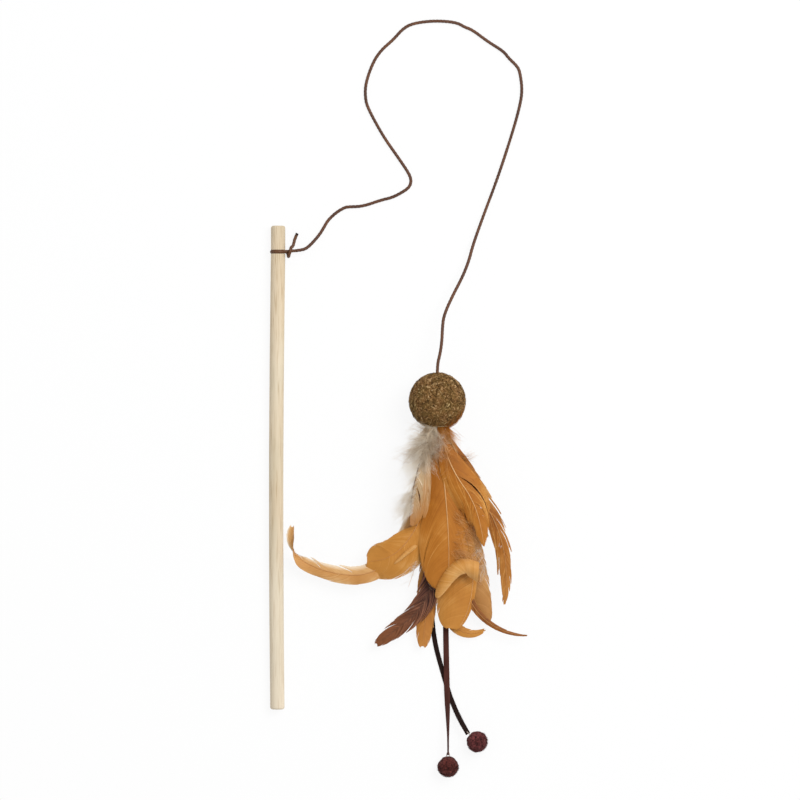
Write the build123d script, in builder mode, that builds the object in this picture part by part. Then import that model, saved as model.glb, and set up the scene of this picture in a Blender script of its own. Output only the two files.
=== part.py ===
import math
import os

from build123d import *

os.makedirs("parts", exist_ok=True)

# Stick
stick_length = 338.0
stick_radius = 5.0
stick_end_round = 1.6
stick_x = -84.2
stick_top_y = 192.8
groove_from_top = 18.2
groove_depth = 2.0
groove_side_play = 0.25

# Cord
cord_diameter = 2.2
cord_play = 0.1
cord_lead = 5.0
bore_play = 0.15
tie_sides = 8
arc_share = 0.45
sample_count = 240
least_gap_floor = 0.4

# Ball and glue plug
ball_radius = 20.0
ball_x = 27.0
ball_y = 70.4
plug_radius = 9.0
plug_depth = 6.5
knot_radius = 2.7
knot_length = 4.6
knot_round = 1.2
knot_play = 0.4
pivot_rise = 4.0
pivot_gap = 0.4

# Feathers
feather_length = 192.0
feather_width = 35.0
quill_radius = 0.6
quill_depth = 4.0
quill_play = 0.05
quill_width = 1.2
vane_thickness = 0.5
rib_height = 0.55
rib_tip_share = 0.25
cup_share = 0.06
station_count = 14
step_count = 80

# Suede strips
strip_a_width = 4.0
strip_b_width = 3.4
strip_thickness = 1.2
strip_play = 0.15
strip_x_offset = 2.35
strip_a_drop = 5.4
strip_b_drop = 7.2
strip_end_length = 7.0
strip_a_end_x = 34.6
strip_a_end_y = -175.0
strip_b_end_x = 47.6
strip_b_end_y = -160.6
strip_b_heading = 30.0
overrun = 0.5

# Felt balls and their stitches
felt_radius = 7.5
felt_reach = 10.0
felt_b_heading = 46.0
thread_radius = 0.35
thread_play = 0.25
thread_bend = 0.5
thread_depth = 3.0
hole_radius = 0.55

# Worked out sizes
cord_radius = cord_diameter / 2
groove_core = stick_radius - groove_depth
loop_radius = groove_core + cord_play + cord_radius
stick_z = max(stick_radius, loop_radius + cord_radius)
tie_y = stick_top_y - groove_from_top
groove_width = cord_diameter + 2 * groove_side_play
bore_radius = cord_radius + bore_play
face_y = ball_y - math.sqrt(ball_radius**2 - plug_radius**2)
pocket_radius = knot_radius + knot_play
pocket_length = knot_length + 2 * knot_play
pivot_y = ball_y + ball_radius + pivot_rise
knot_top_y = face_y + plug_depth + knot_play + knot_length
strip_a_z = ball_radius - strip_a_drop
strip_b_z = ball_radius - strip_b_drop
stitch_rise = strip_thickness / 2 + thread_play + thread_radius
stitch_reach = felt_reach - felt_radius + thread_depth
ball_axis = Axis((ball_x, ball_y, ball_radius), (0, 1, 0))
stick_axis = Axis((stick_x, stick_top_y, stick_z), (0, 1, 0))
ball_plane = Plane(origin=(ball_x, ball_y, ball_radius), x_dir=(1, 0, 0), z_dir=(0, 0, 1))
stick_plane = Plane(origin=(stick_x, stick_top_y, stick_z), x_dir=(1, 0, 0), z_dir=(0, 0, 1))

# The hitch beside the stick, in cord diameters from the stick's side, the groove and the stick's axis
standing_shares = (3.4, 0.35, 0.45)
hitch_shares = [
    (0.72, 0.10, -1.75),
    (1.00, -1.50, -0.62),
    (1.12, -1.55, 1.90),
    (1.95, 1.52, 1.95),
    (2.25, 1.55, -0.62),
    (2.65, 2.40, -0.95),
    (2.95, 4.00, -1.00),
    (3.80, 5.90, -1.00),
]

# The free cord's route on the floor and up to the ball
cord_route = [
    (-63.2, 177.9, 4.6),
    (-59.4, 181.8, 3.2),
    (-55.2, 186.8, 2.0),
    (-52.2, 191.8, 1.4),
    (-49.4, 196.8, 1.2),
    (-43.8, 202.1, 1.2),
    (-38.0, 205.6, 1.2),
    (-35.2, 206.2, 1.2),
    (-25.2, 206.4, 1.2),
    (-12.0, 211.0, 1.2),
    (-4.2, 212.7, 1.2),
    (4.4, 217.4, 1.2),
    (8.0, 220.6, 1.2),
    (8.9, 225.0, 1.2),
    (6.9, 230.2, 1.2),
    (-1.8, 242.8, 1.2),
    (-11.2, 256.2, 1.2),
    (-21.4, 275.0, 1.2),
    (-23.3, 282.0, 1.2),
    (-23.2, 292.4, 1.2),
    (-17.8, 307.6, 1.2),
    (-12.0, 316.0, 1.2),
    (-3.6, 323.2, 1.2),
    (3.0, 330.8, 1.2),
    (9.6, 334.4, 1.2),
    (22.0, 336.2, 1.2),
    (33.8, 336.0, 1.2),
    (41.8, 334.6, 1.2),
    (46.0, 332.0, 1.2),
    (51.6, 330.0, 1.2),
    (62.4, 321.8, 1.2),
    (73.6, 314.9, 1.2),
    (77.0, 310.2, 1.2),
    (83.2, 304.4, 1.2),
    (85.0, 300.0, 1.2),
    (86.6, 288.0, 1.2),
    (85.0, 277.2, 1.2),
    (80.0, 259.0, 1.2),
    (69.6, 227.0, 1.4),
    (59.2, 199.6, 2.6),
    (51.8, 178.8, 4.8),
    (49.2, 168.4, 6.6),
    (44.6, 156.8, 8.8),
    (37.4, 143.2, 11.6),
    (31.6, 130.0, 14.4),
    (30.6, 122.0, 16.2),
    (30.2, 112.0, 18.2),
    (28.9, 103.0, 19.4),
]

# Each strip's route, with its turn about its own length in degrees
strip_a_route = [
    (29.5, 46.0, 13.3, 0),
    (29.8, 38.0, 11.2, 0),
    (30.2, 29.0, 8.9, 0),
    (30.9, 14.0, 6.0, 0),
    (31.6, -5.0, 4.2, 0),
    (32.1, -27.0, 3.2, 0),
    (32.6, -56.0, 2.8, 0),
    (33.0, -86.0, 2.8, 0),
    (33.4, -112.0, 2.8, 0),
    (33.7, -127.0, 3.0, 0),
    (34.0, -138.0, 4.4, 25),
    (34.3, -147.0, 5.8, 48),
    (34.5, -158.0, 7.1, 74),
]
strip_b_route = [
    (24.6, 46.0, 11.3, 0),
    (24.5, 38.0, 9.0, 0),
    (24.3, 29.0, 6.5, 0),
    (23.9, 14.0, 3.7, 0),
    (23.4, -5.0, 2.0, 0),
    (23.0, -27.0, 1.1, 0),
    (22.8, -56.0, 0.8, 0),
    (23.3, -84.0, 0.8, 0),
    (26.0, -102.0, 0.8, 0),
    (30.5, -118.0, 0.8, 0),
    (34.8, -133.0, 0.9, 0),
    (38.6, -143.0, 2.2, 0),
    (41.6, -149.6, 5.0, 0),
]

# Each feather: root across and up on the plug, length, width, bare quill, foot and tip fullness, headings, rises
feather_shares = {
    "feather_down_left": (
        -0.36, 0.68, 0.371, 0.72, 0.06, 0.50, 0.50, (-12, -13, -14, -12, -8), (13.0, 3.0, -6.8)
    ),
    "feather_right_upper": (
        0.36, 0.62, 0.47, 0.76, 0.06, 0.50, 0.85, (1, 21, 36, 16, 6), (9.0, 0.6, -7.7)
    ),
    "feather_centre": (
        0.00, 0.44, 0.601, 1.14, 0.06, 0.70, 0.40, (4, 5, 4, 2, -6), (5.4, -0.5, -6.4)
    ),
    "feather_left_mid": (
        -0.38, 0.33, 0.611, 1.04, 0.08, 0.70, 0.34, (-2, -5, -15, -42, -96), (3.1, -2.2, -7.5)
    ),
    "feather_right_outer": (
        0.51, 0.33, 0.702, 0.50, 0.06, 0.40, 0.75, (17, 27, 30, 29, 16, 3, -5), (3.0, -3.8, -10.6)
    ),
    "feather_pale_right": (
        0.29, 0.11, 0.585, 0.36, 0.18, 0.50, 0.50, (16, 13, 20, 20, 11), (1.0, -2.0, -5.1)
    ),
    "feather_pale_left": (
        -0.33, 0.07, 0.609, 0.32, 0.18, 0.50, 0.50, (-5, -4, -8, -11, -22), (1.9, -2.5, -6.9)
    ),
    "feather_low_centre": (
        0.02, 0.07, 0.745, 0.84, 0.12, 0.70, 0.36, (8, 7, 8, 9, 5, -6, -14), (-1.0, -2.8, -4.7)
    ),
    "feather_left_long": (
        -0.60, -0.07, 1.00, 0.40, 0.12, 0.35, 0.40, (-4, -10, -18, -38, -93, -116, -202), (0.2, -3.1, -6.4)
    ),
    "feather_dark": (
        -0.33, -0.27, 0.885, 0.48, 0.14, 0.55, 0.42, (2, 4, -1, 1, -18, -52, -53), (-1.2, -2.6, -3.9)
    ),
    "feather_thin_right": (
        0.58, -0.20, 0.907, 0.18, 0.16, 0.40, 0.60, (5, 4, 5, 10, 17, 55, 91), (-1.4, -3.4, -5.3)
    ),
    "feather_right_low": (
        0.31, -0.40, 0.735, 0.62, 0.16, 0.65, 0.45, (12, 11, 12, 13, 13, 14, 26), (-3.5, -3.6, -3.7)
    ),
    "feather_small_low": (
        -0.09, -0.42, 0.809, 0.42, 0.20, 0.80, 0.36, (-2, -1, -3, -4, -4, -5, -6), (-3.8, -3.0, -2.3)
    ),
    "feather_low_tip": (
        -0.30, -0.60, 0.862, 0.34, 0.20, 0.40, 0.50, (4, 4, 3, 4, 1, 27, 129), (-5.4, -3.2, -1.1)
    ),
}

# The turn of a feather about its own shaft, from root to tip
flat_rolls = (0, 0)
twisted_rolls = {"feather_left_long": (0, 0, 0, 0, 0, 0, 0, 0, 15, 90, 165)}


# One value of an evenly spaced row of angles
def along(angles, share):
    place = share * (len(angles) - 1)
    low = min(int(place), len(angles) - 2)
    return angles[low] + (angles[low + 1] - angles[low]) * (place - low)


# The way a feather points at a share of its length
def pointing(headings, rises, share):
    heading = math.radians(along(headings, share))
    rise = math.radians(along(rises, share))
    level = math.cos(rise)
    return Vector(math.sin(heading) * level, -math.cos(heading) * level, math.sin(rise))


# A section plane across a blade, turned about the blade's length
def across(point, direction, turn):
    side = Vector(0, 0, 1).cross(direction).normalized()
    side = side.rotate(Axis((0, 0, 0), direction), turn)
    return Plane(origin=point, x_dir=side, z_dir=direction)


# The chevron outline of a vane with its shaft
def vane_outline(width, rib):
    half = width / 2
    web = vane_thickness / 2
    drop = -cup_share * width
    return [(-half, drop), (0, -web), (half, drop), (rib, web), (0, web + rib), (-rib, web)]


# The planes and outlines of one feather
def feather_sections(root, length, width, quill_share, foot, tip, headings, rises, rolls):
    shares = [0.0]
    widths = [quill_width]
    crest_share = foot / (foot + tip)
    crest = crest_share**foot * (1 - crest_share) ** tip
    for number in range(station_count + 1):
        share = (1 - math.cos(math.pi * number / station_count)) / 2
        shares.append(quill_share + (1 - quill_share) * share)
        widths.append(max(quill_width, width * share**foot * (1 - share) ** tip / crest))
    point = root
    last = 0.0
    sections = []
    for share, wide in zip(shares, widths):
        count = max(1, round((share - last) * step_count))
        step = (share - last) / count
        for number in range(count):
            middle = last + step * (number + 1 / 2)
            point = point + pointing(headings, rises, middle) * (length * step)
        last = share
        rib = rib_height * (1 - (1 - rib_tip_share) * share)
        plane = across(point, pointing(headings, rises, share), along(rolls, share))
        sections.append((plane, vane_outline(wide, rib)))
    return sections


# The planes of a strip, each square to its two neighbours
def strip_planes(points, turns):
    planes = []
    for number, point in enumerate(points):
        before = points[max(number - 1, 0)]
        after = points[min(number + 1, len(points) - 1)]
        planes.append(across(point, (after - before).normalized(), turns[number]))
    return planes


# Radii that fill the runs of a cord's route
def route_radii(points):
    radii = []
    for before, point, after in zip(points, points[1:], points[2:]):
        turn = math.radians((point - before).get_angle(after - point))
        run = min((point - before).length, (after - point).length)
        radii.append(arc_share * run / math.tan(turn / 2))
    return radii


# The least gap between stretches of one tube, left out where they follow on
def least_gap(wire, radius, apart):
    points = [wire @ (number / sample_count) for number in range(sample_count + 1)]
    step = wire.length / sample_count
    skip = int(apart / step)
    gaps = []
    for first in range(len(points)):
        for second in range(first + skip, len(points)):
            gaps.append((points[first] - points[second]).length - 2 * radius)
    return min(gaps)


# Wooden stick with a turned groove for the cord
with BuildPart() as wand_dowel:
    with BuildSketch(stick_plane) as dowel_profile:
        with BuildLine():
            groove_top = -groove_from_top + groove_width / 2
            groove_foot = -groove_from_top - groove_width / 2
            Polyline(
                (0, 0),
                (stick_radius, 0),
                (stick_radius, groove_top),
                (groove_core, groove_top),
                (groove_core, groove_foot),
                (stick_radius, groove_foot),
                (stick_radius, -stick_length),
                (0, -stick_length),
                close=True,
            )
        make_face()
        ends = dowel_profile.vertices().filter_by(lambda v: v.X > groove_core)
        rims = [ends.sort_by(Axis.Y)[0], ends.sort_by(Axis.Y)[-1]]
        fillet(rims, radius=stick_end_round)
    revolve(axis=stick_axis)
wand_dowel.part.label = "wand_dowel"
export_step(wand_dowel.part, "parts/wand_dowel.step")

# Cord tied in the groove: one turn, a hitch and the tail
side_x = stick_x + stick_radius
standing = Vector(
    side_x + standing_shares[0] * cord_diameter,
    tie_y + standing_shares[1] * cord_diameter,
    stick_z + standing_shares[2] * cord_diameter,
)
tie_points = [standing]
corner_radius = loop_radius / math.cos(math.pi / tie_sides)
for side in range(tie_sides - 1):
    angle = math.pi * (2 * side + 1) / tie_sides
    corner_x = stick_x + corner_radius * math.cos(angle)
    corner_z = stick_z + corner_radius * math.sin(angle)
    tie_points.append(Vector(corner_x, tie_y, corner_z))
for x_share, y_share, z_share in hitch_shares:
    hitch_x = side_x + x_share * cord_diameter
    hitch_y = tie_y + y_share * cord_diameter
    hitch_z = stick_z + z_share * cord_diameter
    tie_points.append(Vector(hitch_x, hitch_y, hitch_z))
tie_radii = route_radii(tie_points)
print("tie radii", [round(radius, 2) for radius in tie_radii])
with BuildPart() as cord_tie:
    with BuildLine():
        tie_route = FilletPolyline(*tie_points, radius=tie_radii)
    with BuildSketch(Plane(origin=tie_route @ 0, z_dir=tie_route % 0)):
        Circle(cord_radius)
    sweep(path=tie_route)
cord_tie.part.label = "cord_tie"
export_step(cord_tie.part, "parts/cord_tie.step")
tie_length = tie_route.length
tie_gap = least_gap(tie_route, cord_radius, math.pi * cord_diameter)
print("tie length", round(tie_length, 2), "least gap", round(tie_gap, 2), "wanted over", least_gap_floor)
print("tie volume share", round(cord_tie.part.volume / (math.pi * cord_radius**2 * tie_length), 4))

# Free cord from the hitch to the ball
cord_end_y = pivot_y + cord_radius + pivot_gap
cord_start = standing + (standing - tie_points[1]).normalized() * cord_lead
cord_points = [standing, cord_start] + [Vector(*point) for point in cord_route]
cord_points = cord_points + [Vector(ball_x, cord_end_y, ball_radius)]
cord_radii = route_radii(cord_points)
print("cord radii", [round(radius, 1) for radius in cord_radii])
with BuildPart() as cord:
    with BuildLine():
        cord_line = FilletPolyline(*cord_points, radius=cord_radii)
    with BuildSketch(Plane(origin=cord_line @ 0, z_dir=cord_line % 0)):
        Circle(cord_radius)
    sweep(path=cord_line)
cord.part.label = "cord"
export_step(cord.part, "parts/cord.step")
cord_length = cord_line.length
print("cord length", round(cord_length, 2))
print("cord volume share", round(cord.part.volume / (math.pi * cord_radius**2 * cord_length), 4))

# Cord end that the ball turns on
with BuildPart() as cord_end:
    with BuildSketch(ball_plane):
        with BuildLine():
            round_start = (cord_radius, pivot_y - ball_y)
            round_end = (0, pivot_y - ball_y + cord_radius)
            foot = knot_top_y - ball_y
            RadiusArc(round_start, round_end, -cord_radius)
            Polyline(round_end, (0, foot), (cord_radius, foot), round_start)
        make_face()
    revolve(axis=ball_axis)
cord_end.part.label = "cord_end"
export_step(cord_end.part, "parts/cord_end.step")

# Stopper knot inside the ball
with BuildPart() as stopper_knot:
    with BuildSketch(ball_plane) as knot_profile:
        with BuildLine():
            knot_foot = foot - knot_length
            Polyline((0, foot), (knot_radius, foot), (knot_radius, knot_foot), (0, knot_foot), close=True)
        make_face()
        outer = knot_profile.vertices().filter_by(lambda v: v.X > knot_radius / 2)
        fillet(outer, radius=knot_round)
    revolve(axis=ball_axis)
stopper_knot.part.label = "stopper_knot"
export_step(stopper_knot.part, "parts/stopper_knot.step")

# Pressed ball with its bore, knot pocket and plug socket
with BuildPart() as catnip_ball:
    with BuildSketch(ball_plane):
        with BuildLine():
            top = (bore_radius, math.sqrt(ball_radius**2 - bore_radius**2))
            rim = (plug_radius, face_y - ball_y)
            socket = face_y - ball_y + plug_depth
            pocket = socket + pocket_length
            ThreePointArc(top, (ball_radius, 0), rim)
            Polyline(
                rim,
                (plug_radius, socket),
                (pocket_radius, socket),
                (pocket_radius, pocket),
                (bore_radius, pocket),
                top,
            )
        make_face()
    revolve(axis=ball_axis)
catnip_ball.part.label = "catnip_ball"
export_step(catnip_ball.part, "parts/catnip_ball.step")

# Glue plug with a hole for each quill and a round seat for each strip
face_plane = Plane(origin=(ball_x, face_y, ball_radius), x_dir=(1, 0, 0), z_dir=(0, -1, 0))
with BuildPart() as glue_plug:
    with BuildSketch(face_plane):
        Circle(plug_radius)
    extrude(amount=-plug_depth)
    with BuildSketch(face_plane):
        for name, row in feather_shares.items():
            with Locations((row[0] * plug_radius, row[1] * plug_radius)):
                Circle(quill_radius + quill_play)
    extrude(amount=-quill_depth, mode=Mode.SUBTRACT)
    seat_a = (ball_x + strip_x_offset, strip_a_z, strip_a_width)
    seat_b = (ball_x - strip_x_offset, strip_b_z, strip_b_width)
    for seat_x, seat_z, seat_width in (seat_a, seat_b):
        with BuildSketch(Plane(origin=(seat_x, face_y, seat_z), x_dir=(1, 0, 0), z_dir=(0, 0, 1))):
            Circle(seat_width / 2 + strip_play)
        extrude(amount=strip_thickness / 2 + strip_play, both=True, mode=Mode.SUBTRACT)
glue_plug.part.label = "glue_plug"
export_step(glue_plug.part, "parts/glue_plug.step")

# Feathers, each a cupped vane on its own quill
for name, row in feather_shares.items():
    root = Vector(ball_x + row[0] * plug_radius, face_y, ball_radius + row[1] * plug_radius)
    length = row[2] * feather_length
    width = row[3] * feather_width
    rolls = twisted_rolls.get(name, flat_rolls)
    sections = feather_sections(root, length, width, *row[4:], rolls)
    with BuildPart() as feather:
        for plane, outline in sections:
            with BuildSketch(plane):
                with BuildLine():
                    Polyline(*outline, close=True)
                make_face()
        loft(ruled=True)
        with BuildSketch(Plane(origin=root + Vector(0, quill_depth, 0), x_dir=(1, 0, 0), z_dir=(0, -1, 0))):
            Circle(quill_radius)
        extrude(amount=quill_depth + quill_width)
    feather.part.label = name
    export_step(feather.part, f"parts/{name}.step")

# Suede strip A, edge-on at its stitched end
strip_a_root = Vector(ball_x + strip_x_offset, face_y, strip_a_z)
strip_a_hole = Vector(strip_a_end_x, strip_a_end_y, felt_radius)
strip_a_neck = strip_a_hole + Vector(0, strip_end_length, 0)
strip_a_points = [strip_a_root] + [Vector(*row[:3]) for row in strip_a_route] + [strip_a_neck]
strip_a_turns = [0] + [row[3] for row in strip_a_route] + [90]
with BuildPart() as suede_strip_a:
    for plane in strip_planes(strip_a_points, strip_a_turns):
        with BuildSketch(plane):
            Rectangle(strip_a_width, strip_thickness)
    loft(ruled=True)
    with BuildSketch(Plane(origin=strip_a_root, x_dir=(1, 0, 0), z_dir=(0, 0, 1))):
        Circle(strip_a_width / 2)
    extrude(amount=strip_thickness / 2, both=True)
    with BuildSketch(Plane(origin=strip_a_hole, x_dir=(0, 1, 0), z_dir=(1, 0, 0))):
        Circle(strip_a_width / 2)
        with Locations(((strip_end_length + overrun) / 2, 0)):
            Rectangle(strip_end_length + overrun, strip_a_width)
        Circle(hole_radius, mode=Mode.SUBTRACT)
    extrude(amount=strip_thickness / 2, both=True)
suede_strip_a.part.label = "suede_strip_a"
export_step(suede_strip_a.part, "parts/suede_strip_a.step")

# Suede strip B, flat all the way
strip_b_root = Vector(ball_x - strip_x_offset, face_y, strip_b_z)
strip_b_hole = Vector(strip_b_end_x, strip_b_end_y, felt_radius)
strip_b_way = Vector(math.sin(math.radians(strip_b_heading)), -math.cos(math.radians(strip_b_heading)), 0)
strip_b_neck = strip_b_hole - strip_b_way * strip_end_length
strip_b_points = [strip_b_root] + [Vector(*row[:3]) for row in strip_b_route] + [strip_b_neck]
strip_b_turns = [0] + [row[3] for row in strip_b_route] + [0]
with BuildPart() as suede_strip_b:
    for plane in strip_planes(strip_b_points, strip_b_turns):
        with BuildSketch(plane):
            Rectangle(strip_b_width, strip_thickness)
    loft(ruled=True)
    with BuildSketch(Plane(origin=strip_b_root, x_dir=(1, 0, 0), z_dir=(0, 0, 1))):
        Circle(strip_b_width / 2)
    extrude(amount=strip_thickness / 2, both=True)
    with BuildSketch(Plane(origin=strip_b_hole, x_dir=-strip_b_way, z_dir=(0, 0, 1))):
        Circle(strip_b_width / 2)
        with Locations(((strip_end_length + overrun) / 2, 0)):
            Rectangle(strip_end_length + overrun, strip_b_width)
        Circle(hole_radius, mode=Mode.SUBTRACT)
    extrude(amount=strip_thickness / 2, both=True)
suede_strip_b.part.label = "suede_strip_b"
export_step(suede_strip_b.part, "parts/suede_strip_b.step")

# Stitch threads through the strips' ends, and the felt balls on them
felt_b_turn = math.radians(felt_b_heading)
felt_rows = {
    "a": (strip_a_hole, Vector(0, -1, 0), Vector(1, 0, 0)),
    "b": (strip_b_hole, Vector(math.sin(felt_b_turn), -math.cos(felt_b_turn), 0), Vector(0, 0, 1)),
}
for letter, (hole, way, pin) in felt_rows.items():
    with BuildPart() as stitch:
        with BuildLine():
            leg = way * stitch_reach
            rise = pin * stitch_rise
            stitch_route = FilletPolyline(
                hole + leg + rise, hole + rise, hole - rise, hole + leg - rise, radius=thread_bend
            )
        with BuildSketch(Plane(origin=stitch_route @ 0, z_dir=stitch_route % 0)):
            Circle(thread_radius)
        sweep(path=stitch_route)
    stitch.part.label = f"stitch_{letter}"
    export_step(stitch.part, f"parts/stitch_{letter}.step")
    with BuildPart() as felt:
        middle = hole + way * felt_reach
        with BuildSketch(Plane(origin=middle, x_dir=pin, z_dir=way.cross(pin))):
            with BuildLine():
                CenterArc((0, 0), felt_radius, -90, 180)
                Line((0, -felt_radius), (0, felt_radius))
            make_face()
        revolve(axis=Axis(middle, pin.cross(way.cross(pin))))
        with BuildSketch(Plane(origin=hole + leg, x_dir=pin, z_dir=-way)):
            with Locations((-stitch_rise, 0), (stitch_rise, 0)):
                Circle(thread_radius)
        extrude(amount=thread_depth, mode=Mode.SUBTRACT)
    felt.part.label = f"felt_ball_{letter}"
    export_step(felt.part, f"parts/felt_ball_{letter}.step")
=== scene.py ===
import math

import bpy
import numpy as np
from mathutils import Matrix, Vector, noise


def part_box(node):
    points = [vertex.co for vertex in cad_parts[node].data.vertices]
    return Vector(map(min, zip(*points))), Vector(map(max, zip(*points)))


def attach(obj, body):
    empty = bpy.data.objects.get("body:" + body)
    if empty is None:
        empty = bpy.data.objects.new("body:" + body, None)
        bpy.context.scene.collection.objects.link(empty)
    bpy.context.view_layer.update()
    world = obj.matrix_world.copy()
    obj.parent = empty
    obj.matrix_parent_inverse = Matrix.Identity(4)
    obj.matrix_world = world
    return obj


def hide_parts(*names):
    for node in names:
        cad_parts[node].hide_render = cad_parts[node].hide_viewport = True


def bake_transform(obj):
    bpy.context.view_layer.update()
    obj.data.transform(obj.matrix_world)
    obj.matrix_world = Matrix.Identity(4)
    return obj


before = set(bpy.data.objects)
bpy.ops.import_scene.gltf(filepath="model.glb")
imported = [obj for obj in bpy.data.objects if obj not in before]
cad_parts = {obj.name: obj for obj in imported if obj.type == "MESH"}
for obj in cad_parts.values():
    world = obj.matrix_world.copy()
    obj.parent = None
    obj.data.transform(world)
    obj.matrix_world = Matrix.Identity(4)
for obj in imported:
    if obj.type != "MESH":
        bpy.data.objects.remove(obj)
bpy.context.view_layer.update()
draw = np.random.default_rng(11)
upward = np.array((0.0, 0.0, 1.0))

# Camera, over the middle of the photograph
view_width = 0.56
view_centre = (0.001, 0.071)
camera_height = 3.5
camera_clip = 20
sensor_mm = 36.0

# Floor, sky and lamp
floor_size = 6
floor_drop = 0.0002
floor_grey = 0.93
floor_share = 0.90
sky_light = 0.55
lamp_size = 1.4
lamp_power = 34
lamp_place = (0.9, 0.8, 1.9)
lamp_target = (0, 0.05, 0)

# Stick, and its slight bow to the left
stick_radius = 0.005
stick_bow = 0.0011
stick_lean = 0.0005
stick_waver = 0.00007
stick_rings = 180
stick_sides = 40
stick_end_round = 0.0016
stick_end_steps = 8
groove_depth = 0.002
groove_half_width = 0.00135

# Cord
cord_radius = 0.0011
cord_strands = 3
cord_sides = 15
cord_pitch = 0.0075
cord_dip = 0.12
cord_swell = 1.06
band_swell = 1.32
groove_y = 0.1746
loop_radius = 0.0042
loop_sides = 8
lead_length = 0.005
tie_resolution = 14
cord_resolution = 22

# Ball, plug and feather roots
ball_radius = 0.020
shred_depth = 0.0005
plug_radius = 0.009
feather_length = 0.192
feather_width = 0.035
bare_share = 0.4
clump_length = 0.0055
barb_overlap = 1.9
barb_lift = 0.00012
drawn_start = 0.76
drawn_run = 0.18
curl_start = 0.84
curl_run = 0.16
lock_size = 12
least_height = 0.0006
roll_gap = 0.00022
roll_resolution = 24

# Fluff at the neck
neck_radius = 0.0075
neck_drop = 0.0175
neck_width = 0.00022
stray_count = 70
neck_counts = (500, 450)

# Felt balls
felt_radius = 0.0075
fuzz_depth = 0.0004
seam_reach = 0.2

# Shreds and fuzz on a ball: number, lengths, widths, heights, thickness and curl
ball_shreds = [
    (1500, (0.0012, 0.0042), (0.0006, 0.0014), (0.0, 0.0006), 0.25, 0.5),
    (900, (0.0015, 0.0060), (0.00025, 0.0005), (0.0002, 0.0009), 0.5, 0.8),
]
felt_fuzz = (2200, (0.0012, 0.004), (0.00006, 0.00012), (0.0, 0.0011), 0.8, 1.2)

# Suede strips
strip_widths = {"a": 0.004, "b": 0.0034}
strip_thickness = 0.0012
strip_resolution = 16
strip_ring = 16
nap_count = 1500
nap_width = 0.00009
nap_clear = 0.005

# Thread
thread_radius = 0.00035
thread_pitch = 0.0016
stitch_leg = 0.0055
stitch_rise = 0.0006

# The hitch beside the stick, from the stick's side, the groove and the stick's axis, in cord diameters
standing_shares = (3.4, 0.35, 0.45)
hitch_shares = [
    (0.72, 0.10, -1.75),
    (1.00, -1.50, -0.62),
    (1.12, -1.55, 1.90),
    (1.95, 1.52, 1.95),
    (2.25, 1.55, -0.62),
    (2.65, 2.40, -0.95),
    (2.95, 4.00, -1.00),
    (3.80, 5.90, -1.00),
]

# The free cord's route, in millimetres
cord_route = [
    (-63.2, 177.9, 4.6), (-59.4, 181.8, 3.2), (-55.2, 186.8, 2), (-52.2, 191.8, 1.4),
    (-49.4, 196.8, 1.2), (-43.8, 202.1, 1.2), (-38, 205.6, 1.2), (-35.2, 206.2, 1.2),
    (-25.2, 206.4, 1.2), (-12, 211, 1.2), (-4.2, 212.7, 1.2), (4.4, 217.4, 1.2), (8, 220.6, 1.2),
    (8.9, 225, 1.2), (6.9, 230.2, 1.2), (-1.8, 242.8, 1.2), (-11.2, 256.2, 1.2), (-21.4, 275, 1.2),
    (-23.3, 282, 1.2), (-23.2, 292.4, 1.2), (-17.8, 307.6, 1.2), (-12, 316, 1.2),
    (-3.6, 323.2, 1.2), (3, 330.8, 1.2), (9.6, 334.4, 1.2), (22, 336.2, 1.2), (33.8, 336, 1.2),
    (41.8, 334.6, 1.2), (46, 332, 1.2), (51.6, 330, 1.2), (62.4, 321.8, 1.2), (73.6, 314.9, 1.2),
    (77, 310.2, 1.2), (83.2, 304.4, 1.2), (85, 300, 1.2), (86.6, 288, 1.2), (85, 277.2, 1.2),
    (80, 259, 1.2), (69.6, 227, 1.4), (59.2, 199.6, 2.6), (51.8, 178.8, 4.8), (49.2, 168.4, 6.6),
    (44.6, 156.8, 8.8), (37.4, 143.2, 11.6), (31.6, 130, 14.4), (30.6, 122, 16.2),
    (30.2, 112, 18.2), (28.9, 103, 19.4), (27, 95.9, 20), (27, 88.5, 20),
]

# Each strip's route in millimetres, from the glue to just past the hole for its stitch,
# with its turn in degrees
strip_a_route = [
    (29.35, 53.5, 14.6, 0), (29.5, 46, 13.3, 0), (29.8, 38, 11.2, 0), (30.2, 29, 8.9, 0),
    (30.9, 14, 6, 0), (31.6, -5, 4.2, 0), (32.1, -27, 3.2, 0), (32.6, -56, 2.8, 0),
    (33, -86, 2.8, 0), (33.4, -112, 2.8, 0), (33.7, -127, 3, 0), (34, -138, 4.4, 25),
    (34.3, -147, 5.8, 48), (34.5, -158, 7.1, 74), (34.6, -168, 7.5, 90), (34.6, -177, 7.5, 90),
]
strip_b_route = [
    (24.65, 53.5, 12.8, 0), (24.6, 46, 11.3, 0), (24.5, 38, 9, 0), (24.3, 29, 6.5, 0),
    (23.9, 14, 3.7, 0), (23.4, -5, 2, 0), (23, -27, 1.1, 0), (22.8, -56, 0.8, 0),
    (23.3, -84, 0.8, 0), (26, -102, 0.8, 0), (30.5, -118, 0.8, 0), (34.8, -133, 0.9, 0),
    (38.6, -143, 2.2, 0), (41.6, -149.6, 5, 0), (44.1, -154.5, 7.5, 0), (48.6, -162.3, 7.5, 0),
]

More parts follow.
